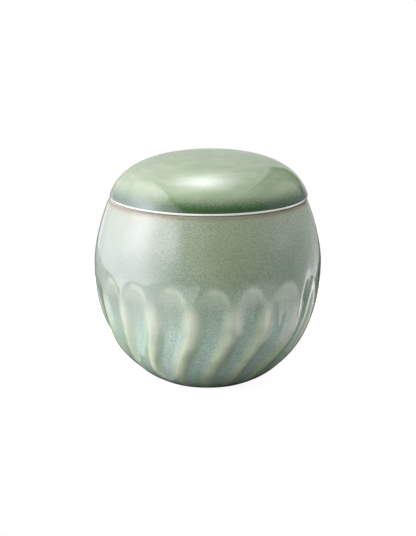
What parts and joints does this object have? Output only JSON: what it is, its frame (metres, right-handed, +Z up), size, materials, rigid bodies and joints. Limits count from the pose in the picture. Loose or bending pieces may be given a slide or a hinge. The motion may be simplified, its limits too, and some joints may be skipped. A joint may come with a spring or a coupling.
{
  "type": "lidded ceramic canister",
  "caption": "Round glazed porcelain canister with a low domed lift-off lid, a ring foot and swirled flutes around its lower half.",
  "frame": {"origin": "centre of the plane that the foot ring stands on, on the axis of the jar", "axes": "+Z up along the axis of the jar and lid; the side seen in the picture faces -Y, with +X to its right"},
  "size_m": [0.12, 0.12, 0.1218],
  "materials": {
    "jar_glaze": "glossy speckled grey-green glaze, thinner and paler on the ridges",
    "lid_glaze": "glossy green glaze, pooled darker towards the lower edge"
  },
  "bodies": {
    "jar": {"jar": "jar_glaze"},
    "lid": {"lid": "lid_glaze"}
  },
  "joints": [
    {"name": "lid_lift", "type": "slide", "parent": "jar", "child": "lid", "axis": [0, 0, 1], "range_m": [0, 0.08]}
  ]
}
